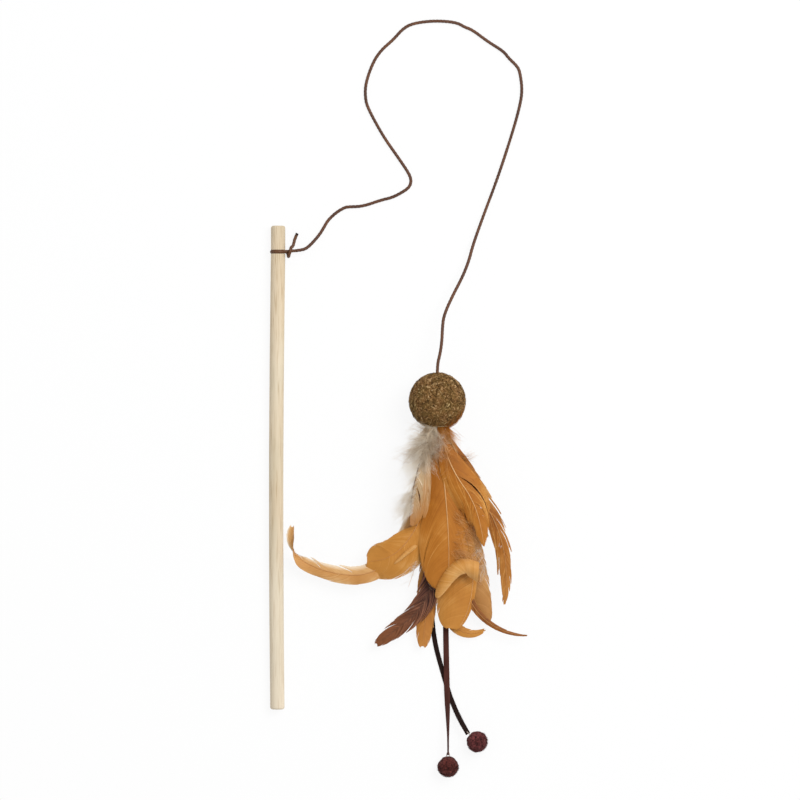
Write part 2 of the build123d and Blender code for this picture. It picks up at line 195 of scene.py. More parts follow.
# Each feather: root across and up on the plug, length, width, bare quill, foot and tip fullness,
# headings and rises along it
feather_shares = {
    "down_left": (-0.36, 0.68, 0.371, 0.72, 0.06, 0.5, 0.5, (-12, -13, -14, -12, -8), (13.0, 3.0, -6.8)),
    "right_upper": (0.36, 0.62, 0.47, 0.76, 0.06, 0.5, 0.85, (1, 21, 36, 16, 6), (9.0, 0.6, -7.7)),
    "centre": (0.0, 0.44, 0.601, 1.14, 0.06, 0.7, 0.4, (4, 5, 4, 2, -6), (5.4, -0.5, -6.4)),
    "left_mid": (-0.38, 0.33, 0.611, 1.04, 0.08, 0.7, 0.34, (-2, -5, -15, -42, -96), (3.1, -2.2, -7.5)),
    "right_outer": (0.51, 0.33, 0.702, 0.5, 0.06, 0.4, 0.64, (17, 27, 30, 29, 16, 3, -5), (3.0, -3.8, -10.6)),
    "pale_right": (0.29, 0.11, 0.585, 0.36, 0.18, 0.5, 0.5, (16, 13, 20, 20, 11), (1.0, -2.0, -5.1)),
    "pale_left": (-0.33, 0.07, 0.609, 0.32, 0.18, 0.5, 0.5, (-5, -4, -8, -11, -22), (1.9, -2.5, -6.9)),
    "low_centre": (0.02, 0.07, 0.745, 0.84, 0.12, 0.7, 0.36, (8, 7, 8, 9, 5, -6, -14), (-1.0, -2.8, -4.7)),
    "left_long": (
        -0.6, -0.07, 1.0, 0.4, 0.12, 0.35, 0.4, (-4, -10, -18, -38, -93, -116, -202), (0.2, -3.1, -6.4)
    ),
    "dark": (-0.33, -0.27, 0.885, 0.48, 0.14, 0.55, 0.42, (2, 4, -1, 1, -18, -52, -53), (-1.2, -2.6, -3.9)),
    "thin_right": (0.58, -0.2, 0.907, 0.18, 0.16, 0.4, 0.6, (5, 4, 5, 10, 17, 55, 91), (-1.4, -3.4, -5.3)),
    "right_low": (
        0.31, -0.4, 0.735, 0.62, 0.16, 0.65, 0.45, (12, 11, 12, 13, 13, 14, 26), (-3.5, -3.6, -3.7)
    ),
    "small_low": (
        -0.09, -0.42, 0.809, 0.42, 0.2, 0.8, 0.36, (-2, -1, -3, -4, -4, -5, -6), (-3.8, -3.0, -2.3)
    ),
    "low_tip": (-0.3, -0.6, 0.862, 0.34, 0.2, 0.4, 0.5, (4, 4, 3, 4, 1, 27, 129), (-5.4, -3.2, -1.1)),
}

# How a vane rolls over along its shaft, in degrees
flat_rolls = (0, 0)
twisted_rolls = {"left_long": (0,) * 17 + (25, 95, 150, 165)}

# How far an end curls under, past a crease
curled_ends = {"left_mid": 0.16}

# Barbs that differ from the rest, for the left and right side: where they begin, how narrow they start,
# how far they draw in near the tip, how far clumps are torn off, and their material slots
one_sided = {
    "down_left": {"ways": (1,)},
    "right_upper": {"torn": (0.30, 0.20)},
    "centre": {"drawn": (0, 0.72)},
    "right_outer": {"torn": (0.15, 0.22)},
    "dark": {"torn": (0.08, 0.08)},
    "left_mid": {"bare": (0.70, 0), "narrow": (0.4, 1)},
    "left_long": {"slots": (3, 0)},
}

# Down besides a feather's own tufts: count, stretch of the shaft and reach, and how it differs
more_down = {
    "down_left": [
        (1400, (0.05, 0.9), 0.015, {"ways": (-1,), "slot": 3, "thick": 0.00007, "spread": 0.4}),
        (900, (0.0, 0.26), 0.019, {"leans": (-0.9, 0.9), "spread": 0.5}),
    ],
    "centre": [(420, (0.5, 0.84), 0.009, {"ways": (1,), "inset": 0.6, "spread": 0.15})],
}
wispy_down = {"ways": (-1,), "thick": 0.00006, "wave": 0.14}

# Each shaft's radius and lift over the vane
usual_shaft = (0.0005, 0.0003)
thick_shafts = {"down_left": (0.0008, 0.0010)}

# The frame's slot for feathers of a finish
usual_slot = "orange_feather"
finish_slots = {"tan": "down_feather", "white": "down_feather", "umber": "dark_feather"}

# Rolled-over edges of two feathers: route in millimetres, width, crown, material slot and tone, which is
# paler than the vanes' as a painted highlight along the roll
rolled_edges = {
    "low_centre": (
        [
            (55.5, -49, 21.5), (47, -44, 25), (39.5, -47, 26.2), (34, -53.5, 25.8), (30, -60, 24.4),
            (26.8, -66.8, 21.8),
        ],
        0.0085, 0.0026, 2, 0.85,
    ),
    "left_mid": (
        [
            (12, -30, 20.5), (6, -35, 22.2), (1, -39.5, 21.8), (-3, -43, 20.5),
        ],
        0.0024, 0.0009, 0, 0.8,
    ),
}

# Barb colours: deep, middle and pale, at the root, at the tip, and at the edge where that differs
barb_tints = {
    "cream_down": ((206, 182, 148), (236, 218, 190), (252, 246, 234), (232, 210, 178), (240, 226, 202)),
    "white_down": ((220, 206, 186), (240, 232, 218), (252, 249, 242), (230, 218, 200), (246, 240, 230)),
    "orange_barbs": ((152, 86, 20), (182, 114, 38), (216, 158, 84), (156, 92, 26), (186, 118, 44)),
    "gold_barbs": ((168, 104, 34), (196, 132, 56), (232, 184, 118), (180, 118, 52), (198, 136, 62)),
    "tawny_barbs": ((138, 78, 24), (172, 108, 42), (216, 164, 98), (156, 94, 34), (190, 128, 62)),
    "umber_barbs": ((24, 13, 13), (96, 58, 46), (164, 112, 84), (96, 74, 66), (136, 82, 46)),
    "tan_down": (
        (148, 116, 78), (190, 160, 122), (232, 212, 182), (200, 182, 154), (172, 106, 38), (180, 118, 50)
    ),
    # Grey down: the down's own grey, darkened further as painted shade from the tuft's self-shadowing
    "grey_down_painted_shade": ((164, 140, 112), (214, 196, 170), (250, 244, 232), (196, 176, 150), (230, 218, 198)),
    "amber_barbs": ((158, 94, 28), (190, 126, 52), (226, 174, 104), (168, 106, 40), (194, 132, 60)),
    "russet_barbs": ((92, 50, 20), (148, 90, 40), (200, 142, 80), (140, 84, 36), (150, 92, 42)),
    "pale_apricot_barbs": (
        (186, 130, 70), (216, 168, 110), (244, 214, 168), (196, 142, 84), (212, 164, 106), (246, 232, 208)
    ),
    "straw_barbs": ((148, 94, 40), (180, 126, 68), (222, 176, 116), (160, 104, 50), (186, 132, 74)),
    "apricot_barbs": ((182, 122, 58), (210, 154, 92), (240, 202, 148), (192, 136, 76), (206, 150, 88)),
}

# Shaft colours: at the root and at the tip
horn_tints = {
    "pale_horn": ((208, 172, 124), (206, 140, 76)),
    "bright_horn": ((226, 184, 130), (240, 190, 130)),
    "dark_horn": ((150, 120, 95), (84, 52, 38)),
}

# A feather's materials: barbs, shaft, down and other barbs or down
feather_finishes = {
    "orange": ("orange_barbs", "bright_horn", "apricot_barbs"),
    "gold": ("gold_barbs", "pale_horn", "cream_down"),
    "tawny": ("tawny_barbs", "pale_horn", "tawny_barbs"),
    # The tan feather's cloud of down carries painted shade
    "tan": ("tan_down", "dark_horn", "grey_down_painted_shade", "white_down"),
    "straw": ("straw_barbs", "pale_horn", "straw_barbs"),
    "rolled": ("amber_barbs", "bright_horn", "gold_barbs"),
    "apricot": ("apricot_barbs", "pale_horn", "cream_down", "pale_apricot_barbs"),
    "russet": ("russet_barbs", "pale_horn", "russet_barbs"),
    "white": ("white_down", "pale_horn", "white_down"),
    "umber": ("umber_barbs", "dark_horn", "cream_down"),
}

# Each feather's finish, barb gap, lean, splits, ragged edge, share of streak barbs (dark ones, and pale ones
# that are painted highlights), cup and shaft place,
# then its tufts of down: count, reach and stretch of the shaft
feather_looks = {
    "down_left": ("tan", 0.00026, 3.0, 0.3, 0.55, 0.08, 0.0, -0.28, 900, 0.015, (0.0, 0.36)),
    "right_upper": ("orange", 0.0002, 4.6, 0.55, (0.75, 0.4), 0.12, 0.30, 0, 160, 0.014, (0.0, 0.25)),
    "centre": ("orange", 0.00023, 2.6, 0.2, 0.06, 0.02, 0.22, 0.1, 160, 0.014, (0.0, 0.14)),
    "left_mid": ("gold", 0.00023, (0.9, 2.0), 0.04, 0.04, 0.01, 0.30, 0, 100, 0.012, (0.0, 0.2)),
    "right_outer": ("tawny", 0.0002, 4.4, 1.0, (0.5, 0.35), 0.16, 0.25, 0.2, 120, 0.012, (0.0, 0.25)),
    "pale_right": ("white", 0, 0, 0, 0, 0, 0.2, 0, 140, 0.012, (0.6, 0.98)),
    "pale_left": ("white", 0, 0, 0, 0, 0, 0.2, 0, 90, 0.008, (0.8, 0.98)),
    "low_centre": ("rolled", 0.00023, 1.6, 0.05, 0.02, 0.03, 0.30, 0.8, 40, 0.012, (0.0, 0.15)),
    "left_long": ("apricot", 0.00023, 2.2, 0.06, (0.35, 0.06), 0.02, 0.25, 0, 60, 0.010, (0.0, 0.25)),
    "dark": ("umber", 0.0002, 3.4, 0.7, 0.12, 0.42, 0.25, 0, 120, 0.010, (0.5, 0.62)),
    "thin_right": ("russet", 0.00023, 2.2, 0.2, 0.10, 0.06, 0.2, 0, 40, 0.008, (0.0, 0.2)),
    "right_low": ("straw", 0.00023, 2.0, 0.2, 0.08, 0.04, 0.25, -0.4, 40, 0.010, (0.0, 0.2)),
    "small_low": ("tawny", 0.00023, 2.0, 0.3, 0.10, 0.06, 0.25, 0, 40, 0.010, (0.0, 0.2)),
    "low_tip": ("gold", 0.00023, 2.0, 0.2, 0.08, 0.04, 0.25, 0, 40, 0.010, (0.0, 0.2)),
}


# A socket that takes part in sums
class Shade:
    def __init__(self, nodes, socket):
        self.nodes = nodes
        self.socket = socket

    def sum(self, operation, first, second):
        return self.nodes.node("ShaderNodeMath", {"operation": operation}, {0: first, 1: second})

    def __add__(self, other):
        return self.sum("ADD", self, other)

    def __radd__(self, other):
        return self.sum("ADD", other, self)

    def __sub__(self, other):
        return self.sum("SUBTRACT", self, other)

    def __mul__(self, other):
        return self.sum("MULTIPLY", self, other)

    def __rmul__(self, other):
        return self.sum("MULTIPLY", other, self)


# A tree of nodes, and the one way to add to it
class Nodes:
    def __init__(self, tree):
        self.tree = tree

    def node(self, kind, settings=None, inputs=None, out=0):
        made = self.tree.nodes.new(kind)
        for key, value in (settings or {}).items():
            if key == "stops":
                ramp = made.color_ramp
                while len(ramp.elements) < len(value):
                    ramp.elements.new(0.5)
                for element, (place, colour) in zip(ramp.elements, value):
                    element.position = place
                    element.color = solid(colour)
            else:
                setattr(made, key, value)
        for key, value in (inputs or {}).items():
            self.feed(made.inputs[key], value)
        return Shade(self, made.outputs[out])

    def feed(self, socket, value):
        if isinstance(value, Shade):
            self.tree.links.new(value.socket, socket)
        else:
            socket.default_value = value


# One material and the nodes in it
class Finish(Nodes):
    def __init__(self, name, roughness, gloss, sheen=0.0):
        self.material = bpy.data.materials.new(name)
        self.material.use_nodes = True
        super().__init__(self.material.node_tree)
        self.shader = self.tree.nodes["Principled BSDF"]
        self.link("Roughness", roughness)
        self.link("Specular IOR Level", gloss)
        self.link("Sheen Weight", sheen)

    def place(self, scale=(1, 1, 1), source="Object"):
        spot = self.node("ShaderNodeTexCoord", out=source)
        return self.node("ShaderNodeMapping", None, {0: spot, "Scale": scale})

    def axis(self, letter, scale=(1, 1, 1), source="UV"):
        return self.node("ShaderNodeSeparateXYZ", None, {0: self.place(scale, source)}, out=letter)

    # Noise, with a scale for all three axes or for each
    def grain(self, scale, detail=3.0, rough=0.55, source="Object"):
        spot = self.place(scale if isinstance(scale, tuple) else (scale,) * 3, source)
        sizes = {"Vector": spot, "Scale": 1.0, "Detail": detail, "Roughness": rough}
        return self.node("ShaderNodeTexNoise", None, sizes)

    def tone(self):
        return self.node("ShaderNodeAttribute", {"attribute_name": "tone"}, out="Fac")

    def ramp(self, value, *stops):
        return self.node("ShaderNodeValToRGB", {"stops": stops}, {0: value})

    def blend(self, amount, first, second, way="MIX"):
        settings = {"data_type": "RGBA", "blend_type": way}
        return self.node("ShaderNodeMix", settings, {"Factor": amount, 6: first, 7: second}, out=2)

    def link(self, label, value):
        self.feed(self.shader.inputs[label], value)

    def painted(self, colour):
        self.link("Base Color", colour)
        return self.material

    def bump(self, height, distance, strength):
        made = {"Height": height, "Distance": distance, "Strength": strength}
        self.link("Normal", self.node("ShaderNodeBump", None, made))


# A colour as it reads on a screen, made linear
def tint(red, green, blue):
    parts = (red / 255, green / 255, blue / 255)
    return tuple(part / 12.92 if part < 0.04045 else ((part + 0.055) / 1.055) ** 2.4 for part in parts)


def solid(colour):
    return (*colour, 1)


def grey(level):
    return (level, level, level)


# Bare pine: long pale grain with darker pores, and paler towards its foot
def pine_finish():
    finish = Finish("bare_pine", 0.62, gloss=0.3)
    drift = finish.grain((120, 9, 120), 4.0)
    pores = finish.grain((1500, 45, 1500), 2.0)
    broadly = finish.grain((60, 14, 60), 2.0)
    base = finish.ramp(
        drift, (0.25, tint(204, 190, 164)), (0.5, tint(220, 206, 182)), (0.75, tint(232, 220, 200))
    )
    lines = finish.ramp(pores, (0.30, tint(196, 176, 140)), (0.48, tint(255, 255, 255)))
    veined = finish.blend(0.55, base, lines, "MULTIPLY")
    warm = finish.ramp(broadly, (0.35, tint(255, 247, 236)), (0.65, tint(250, 250, 244)))
    grained = finish.blend(0.8, veined, warm, "MULTIPLY")
    height = finish.axis("Y", (1, -1, 1), "Object")
    foot = finish.ramp(height * 6.0, (0.0, grey(0)), (1.0, grey(0.4)))
    finish.link("Roughness", 0.5 + 0.25 * pores)
    finish.bump(pores * 0.7 + drift * 0.3, 0.00012, 0.6)
    return finish.painted(finish.blend(foot, grained, solid(tint(252, 240, 222))))


# Waxed cotton: dark brown strands with worn patches, and a sealed dark tip
def cord_finish(name, shadow, light):
    finish = Finish(name, 0.45, gloss=0.4)
    fibre = finish.grain((40, 900, 1), source="UV")
    patch = finish.grain(90, 2.0)
    dark = finish.ramp(fibre, (0.3, tint(66, 42, 30)), (0.55, tint(112, 76, 52)), (0.75, tint(156, 106, 66)))
    worn = finish.ramp(patch, (0.35, shadow), (0.7, light))
    sealed = finish.ramp(finish.axis("Y") * 250.0, (0.3, (0.16, 0.14, 0.14)), (0.5, grey(1)))
    patched = finish.blend(1.0, dark, worn, "MULTIPLY")
    finish.link("Roughness", 0.35 + 0.3 * fibre)
    finish.bump(fibre, 0.00012, 0.8)
    return finish.painted(finish.blend(1.0, patched, sealed, "MULTIPLY"))


# Pressed catnip: brown leaf crumbs with dark pits and pale flecks; the tone adds painted shade in the pits
# and painted light on the raised crumbs
def catnip_finish():
    finish = Finish("pressed_catnip", 0.85, gloss=0.15)
    crumb = finish.grain(620, 5.0, 0.7)
    patch = finish.grain(160)
    crumbs = finish.ramp(
        crumb * 0.5 + finish.tone() * 0.5,
        (0.16, tint(40, 27, 12)),
        (0.42, tint(102, 76, 42)),
        (0.60, tint(140, 108, 68)),
        (0.80, tint(206, 178, 138)),
    )
    cast = finish.ramp(patch, (0.35, tint(236, 236, 212)), (0.65, tint(255, 240, 226)))
    finish.bump(crumb, 0.0005, 0.9)
    return finish.painted(finish.blend(0.9, crumbs, cast, "MULTIPLY"))


# Set glue: dull amber with small lumps
def glue_finish():
    finish = Finish("set_glue", 0.4, gloss=0.5)
    lumps = finish.grain(500)
    finish.link("Roughness", 0.3 + 0.3 * lumps)
    finish.bump(lumps, 0.0006, 0.8)
    return finish.painted(finish.ramp(lumps, (0.3, tint(150, 118, 76)), (0.7, tint(206, 182, 140))))


# Feather barbs: each barb its own tone, with another colour at the foot and the tip, and painted light
# towards each barb's outer end
def barb_finish(name, deep, middle, pale, root, tip, edge=None):
    finish = Finish(name, 0.5, gloss=0.16, sheen=0.02)
    along = finish.axis("X")
    height = finish.axis("Y")
    tone = finish.tone()
    # The 0.16 share of along squared lightens each barb towards its outer end: painted light standing in for
    # light through the thin edges
    shade = tone * 0.45 + finish.grain(55) * 0.6 + 0.16 * (along * along) - 0.08
    base = finish.ramp(shade, (0.22, deep), (0.5, middle), (0.78, pale))
    rooty = finish.ramp(height, (0.0, grey(0.9)), (0.2, grey(0.6)), (0.45, grey(0)))
    tippy = finish.ramp(height, (0.7, grey(0)), (0.95, grey(0.7)))
    colour = finish.blend(tippy, finish.blend(rooty, base, solid(root)), solid(tip))
    if edge:
        fading = finish.ramp(along, (0.4, grey(0)), (1.0, grey(0.85)))
        colour = finish.blend(fading, colour, solid(edge))
    finish.link("Roughness", 0.42 + 0.2 * tone)
    return finish.painted(colour)


# Feather shaft: glossy horn
def shaft_finish(name, base, tip):
    finish = Finish(name, 0.45, gloss=0.25)
    body = finish.ramp(finish.axis("Y"), (0.0, base), (0.9, tip))
    flecks = finish.ramp(finish.grain(900, 2.0), (0.35, base), (0.65, tip))
    return finish.painted(finish.blend(0.35, body, flecks))


# Suede: napped, in soft darker and lighter brushed patches
def suede_finish(name, dark, light):
    finish = Finish(name, 0.9, gloss=0.1, sheen=0.06)
    nap = finish.grain(2600)
    brushed = finish.grain((260, 90, 260))
    finish.bump(nap, 0.0002, 0.8)
    return finish.painted(finish.ramp(nap * 0.5 + brushed * 0.5, (0.3, dark), (0.7, light)))


# Wool felt: matted fibres, and on the core a tone that paints shade in the pits and light on the bumps
def felt_finish(name, dark, light):
    finish = Finish(name, 0.95, gloss=0.1, sheen=0.08)
    tangle = finish.grain(560, 5.0, 0.7)
    finish.bump(tangle, 0.0004, 0.9)
    return finish.painted(finish.ramp(tangle * 0.5 + finish.tone() * 0.5, (0.28, dark), (0.74, light)))


# Sewing thread: pale two-ply cotton
def thread_finish():
    finish = Finish("sewing_thread", 0.8, gloss=0.2)
    fibre = finish.grain(4000, 2.0)
    finish.bump(fibre, 0.0001, 0.7)
    return finish.painted(finish.ramp(fibre, (0.3, tint(150, 128, 118)), (0.7, tint(214, 200, 190))))


# A new object in the scene
def new_object(name, data):
    made = bpy.data.objects.new(name, data)
    bpy.context.scene.collection.objects.link(made)
    return made


# A mesh piece at the origin, with its UV map, tones and material slots
def make_piece(name, points, faces, materials, chart=None, tones=None, slots=None, smooth=True):
    mesh = bpy.data.meshes.new(name)
    mesh.from_pydata([tuple(point) for point in points], [], faces)
    for material in materials:
        mesh.materials.append(material)
    corner = np.empty(len(mesh.loops), dtype=np.int32)
    mesh.loops.foreach_get("vertex_index", corner)
    if chart is not None:
        layer = mesh.uv_layers.new(name="chart")
        layer.data.foreach_set("uv", np.asarray(chart, dtype=np.float32)[corner].ravel())
    if tones is not None:
        attribute = mesh.attributes.new("tone", "FLOAT", "POINT")
        attribute.data.foreach_set("value", np.asarray(tones, dtype=np.float32))
    if slots is not None:
        mesh.polygons.foreach_set("material_index", np.asarray(slots, dtype=np.int32))
    mesh.polygons.foreach_set("use_smooth", np.full(len(mesh.polygons), smooth))
    mesh.validate()
    mesh.update()
    return new_object(name, mesh)


# The points of a route's NURBS spline
def spline_points(control, resolution):
    curve = bpy.data.curves.new("route", "CURVE")
    curve.dimensions = "3D"
    curve.resolution_u = resolution
    spline = curve.splines.new("NURBS")
    spline.points.add(len(control) - 1)
    for point, place in zip(spline.points, control):
        point.co = (*place, 1)
    spline.order_u = 3
    spline.use_endpoint_u = True
    holder = new_object("route", curve)
    mesh = bpy.data.meshes.new_from_object(holder)
    points = np.array([vertex.co[:] for vertex in mesh.vertices])
    bpy.data.objects.remove(holder)
    bpy.data.curves.remove(curve)
    bpy.data.meshes.remove(mesh)
    return points


def unit(rows):
    return rows / np.maximum(np.linalg.norm(rows, axis=-1, keepdims=True), 1e-12)


def route_length(points):
    return float(np.linalg.norm(np.diff(points, axis=0), axis=1).sum())


# The middle of a node's box
def middle_of(node):
    return [(low + high) / 2 for low, high in zip(*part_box(node))]


# Rows of millimetres, in metres
def metres(rows):
    return [tuple(value / 1000 for value in row) for row in rows]


# How far along a line each of its points is
def distances(points):
    return np.concatenate([[0], np.cumsum(np.linalg.norm(np.diff(points, axis=0), axis=1))])


# The rows of a table at any place between its marks
def rows_at(places, marks, table):
    return np.stack([np.interp(places, marks, table[:, axis]) for axis in range(3)], axis=-1)


# The faces of rings of points joined in turn, with a cap at each end
def tube_faces(rings, sides):
    faces = []
    for ring in range(rings - 1):
        for number in range(sides):
            first = ring * sides + number
            second = ring * sides + (number + 1) % sides
            faces.append((first, second, second + sides, first + sides))
    faces.append(tuple(reversed(range(sides))))
    faces.append(tuple(range((rings - 1) * sides, rings * sides)))
    return faces


# Give a piece its body and hide the nodes it stands for; its slot is not used
def hand_over(piece, body, slot, *nodes):
    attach(piece, body)
    if nodes:
        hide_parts(*nodes)


# A closed tube of twisted strands round a line of points
def twisted_tube(name, points, radius, strands, sides, pitch, dip, material, start=0.0):
    travelled = start + distances(points)
    ways = unit(np.gradient(points, axis=0))
    side = np.cross(ways[0], upward)
    if np.linalg.norm(side) < 0.1:
        side = np.cross(ways[0], (1.0, 0.0, 0.0))
    rings = []
    chart = []
    for place, way, far, wide in zip(points, ways, travelled, np.broadcast_to(radius, len(points))):
        side = unit(side - way * side.dot(way))
        rise = np.cross(way, side)
        for number in range(sides):
            share = number / sides
            turn = 2 * math.pi * (share + far / pitch)
            lobe = (1 + math.cos(2 * math.pi * strands * share)) / 2
            reach = wide * (1 - dip * (1 - lobe) ** 1.5)
            rings.append(place + (side * math.cos(turn) + rise * math.sin(turn)) * reach)
            chart.append((share * strands, far))
    return make_piece(name, rings, tube_faces(len(points), sides), [material], chart)


# Tapered three-sided strands, many at once, gathered into one mesh
class Strands:
    def __init__(self):
        self.points = []
        self.faces = []
        self.chart = []
        self.tones = []
        self.slots = []
        self.count = 0

    # paths are (strand, step, xyz); ups, widths and the height in the chart are spread to match
    def add(self, paths, ups, widths, thick, slot=0, tones=None, height=0.0):
        number, steps = paths.shape[:2]
        widths = np.broadcast_to(widths, (number, steps))
        ways = unit(np.gradient(paths, axis=1))
        sides = unit(np.cross(np.broadcast_to(ups, paths.shape), ways))
        half = widths[..., None] / 2
        ridge = paths + np.cross(ways, sides) * (widths * thick)[..., None]
        block = np.stack([paths - sides * half, paths + sides * half, ridge], axis=2)
        self.points.append(block.reshape(-1, 3))
        if tones is None:
            tones = draw.random(number)
        self.tones.append(np.repeat(tones, steps * 3))
        chart = np.empty((number, steps, 2))
        chart[..., 0] = np.linspace(0, 1, steps)
        chart[..., 1] = height
        self.chart.append(np.repeat(chart, 3, axis=1).reshape(-1, 2))
        quads = []
        for step in range(steps - 1):
            low = step * 3
            for one, two in ((1, 2), (2, 0), (0, 1)):
                quads.append((low + two, low + two + 3, low + one + 3, low + one))
        last = (steps - 1) * 3
        for strand in range(number):
            base = self.count + strand * steps * 3
            self.faces.extend([tuple(base + corner for corner in quad) for quad in quads])
            self.faces.append((base + 2, base + 1, base))
            self.faces.append((base + last, base + last + 1, base + last + 2))
        self.slots.extend([slot] * (number * (len(quads) + 2)))
        self.count += number * steps * 3

    def piece(self, name, materials):
        points = np.concatenate(self.points)
        chart = np.concatenate(self.chart)
        tones = np.concatenate(self.tones)
        return make_piece(name, points, self.faces, materials, chart, tones, self.slots, smooth=False)


# One value of an evenly spaced row of angles, at each share
def along(angles, shares):
    return np.interp(shares, np.linspace(0, 1, len(angles)), angles)


# A feather's surface: its shaft line, and its vane as a function of height and reach
class Vane:
    steps = 400

    def __init__(self, row, rolls, cup, curl, shaft_out):
        across, up, length, width, quill, foot, tip, headings, rises = row
        ball = middle_of("catnip_ball")
        shares = np.linspace(0, 1, self.steps + 1)
        middles = (shares[1:] + shares[:-1]) / 2
        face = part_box("glue_plug")[0][1]
        root = np.array((ball[0] + across * plug_radius, face, ball[2] + up * plug_radius))
        run = self.pointing(headings, rises, middles) * (length * feather_length / self.steps)
        self.shares = shares
        self.line = np.concatenate([root[None], root + np.cumsum(run, axis=0)])
        self.ways = unit(np.gradient(self.line, axis=0))
        level = unit(np.cross(upward, self.ways))
        rise = np.cross(self.ways, level)
        turn = np.radians(along(rolls, shares))[:, None]
        self.sides = level * np.cos(turn) + rise * np.sin(turn)
        self.ups = np.cross(self.ways, self.sides)
        self.length = length * feather_length
        self.half = width * feather_width / 2
        self.quill = quill * bare_share
        self.foot = foot
        self.tip = tip
        crest = foot / (foot + tip)
        self.crest = crest**foot * (1 - crest) ** tip
        self.cup = cup
        self.curl = curl
        self.shaft_out = shaft_out

    def pointing(self, headings, rises, shares):
        heading = np.radians(along(headings, shares))
        rise = np.radians(along(rises, shares))
        level = np.cos(rise)
        return np.stack([np.sin(heading) * level, -np.cos(heading) * level, np.sin(rise)], axis=-1)

    def at(self, table, shares):
        return rows_at(shares, self.shares, table)

    # Half the vane's width at a height from 0, its foot, to 1, its tip
    def reach(self, height):
        height = np.clip(height, 0, 1)
        return self.half * height**self.foot * (1 - height) ** self.tip / self.crest

    # A place on the vane, and the way up from it
    def place(self, height, out):
        shares = self.quill + (1 - self.quill) * height
        half = self.reach(height)
        side = self.at(self.sides, shares)
        up = unit(self.at(self.ups, shares))
        under = self.curl * np.clip((height - curl_start) / curl_run, 0, 1) ** 1.2
        sink = -self.cup * half * out * out - under * self.half
        tilt = -2 * self.cup * out
        spot = self.at(self.line, shares) + side * (out * half)[..., None] + up * sink[..., None]
        return spot, unit(up - side * tilt[..., None])


# Barbs beside a shaft, in clumps that split apart at the edge
def lay_barbs(
    strands, vane, gap, lean, split, ragged, streaks_and_highlights,
    ways=(-1, 1), bare=(0, 0), narrow=(1, 1), drawn=(0, 0), torn=(0, 0), slots=(0, 0),
):
    heights = np.linspace(0, 1, 900)
    long = vane.length * (1 - vane.quill)
    sway = np.linspace(0, 1, 8)[None]
    count = int(long / gap)
    for way in ways:
        hand = (way + 1) // 2
        span = 1 - way * vane.shaft_out
        roots = heights - np.broadcast_to(lean, 2)[hand] * vane.reach(heights) * span / long
        order = np.maximum.accumulate(roots + heights * 1e-4)
        start = np.sort((np.arange(count) + draw.random(count)) / count) * 0.99
        finish = np.interp(start, order, heights)
        clump = np.cumsum(draw.random(count) < gap / clump_length)
        clumps = clump.max() + 1
        pull = (0.4 + 0.6 * draw.random(clumps)[clump]) * split
        weight = np.maximum(np.bincount(clump, minlength=clumps), 1)
        middle = np.bincount(clump, finish, minlength=clumps) / weight
        short = np.broadcast_to(ragged, 2)[hand]
        reach = 1 - short * (0.35 * draw.random(count) + 0.8 * draw.random(clumps)[clump] - 0.2)
        reach = reach * (narrow[hand] + (1 - narrow[hand]) * finish**4)
        reach = reach * (1 - drawn[hand] * np.clip((finish - drawn_start) / drawn_run, 0, 1))
        rough = draw.normal(0, 1, clumps)[clump] + 0.3 * draw.normal(0, 1, count)
        patchy = (0.12 + 0.28 * split) * (draw.random(clumps)[clump] - 0.5)
        tones = 0.5 + 0.3 * (draw.random(count) - 0.5) + patchy
        # A share of barbs become streak barbs: two in three are dark barbs, one in three is a pale barb that
        # is a painted highlight
        tones = np.where(draw.random(count) < streaks_and_highlights, draw.choice((-0.1, 0.0, 1.0), count), tones)
        run = sway * (1 - torn[hand] * draw.random(clumps)[clump] ** 2)[:, None]
        end = finish[:, None] + (middle[clump] - finish)[:, None] * pull[:, None] * run
        height = start[:, None] + (end - start[:, None]) * (0.55 * run + 0.45 * run**2)
        out = vane.shaft_out + way * span * reach[:, None] * (1.28 * run - 0.28 * run**2)
        spot, up = vane.place(np.clip(height, 0, 1), out)
        spot = spot + up * (barb_lift * rough[:, None] * sway)[..., None]
        width = gap * barb_overlap * (1 - 0.75 * sway**4)
        grown = finish > bare[hand] + 0.06 * draw.random(count)
        strands.add(spot[grown], up[grown], width, 0.05, slots[hand], tones[grown], height[grown])


# An edge rolled over along a route, as barbs across it, in a pale tone that paints a highlight along it
def lay_roll(strands, route, width, crown, slot, tone):
    line = spline_points(metres(route), roll_resolution)
    far = distances(line)
    count = int(far[-1] / roll_gap)
    shares = (np.arange(count) + draw.random(count)) / count
    spot = rows_at(shares * far[-1], far, line)
    way = rows_at(shares * far[-1], far, unit(np.gradient(line, axis=0)))
    side = unit(np.cross(upward, way))
    steps = np.linspace(-0.5, 0.5, 9)
    taper = (1 - shares**9) ** 0.5 * (1.5 - 0.75 * shares) * (0.96 + 0.08 * draw.random(count))
    shift = (steps * width)[None] * taper[:, None]
    paths = spot[:, None] + side[:, None] * shift[..., None] + way[:, None] * (-0.5 * shift)[..., None]
    paths[..., 2] += crown * taper[:, None] * (1 - (2 * steps[None]) ** 2)
    slope = (8 * crown / width * steps)[None, :, None]
    ups = unit(side[:, None] * slope + upward)
    wide = 2.2 * roll_gap * (1 - 0.5 * (2 * steps) ** 4)
    # The tone, above the vanes' usual middle, is a painted highlight along the roll
    tones = tone + 0.3 * (draw.random(count) - 0.5)
    strands.add(paths, ups, wide, 0.05, slot, tones, 0.8)


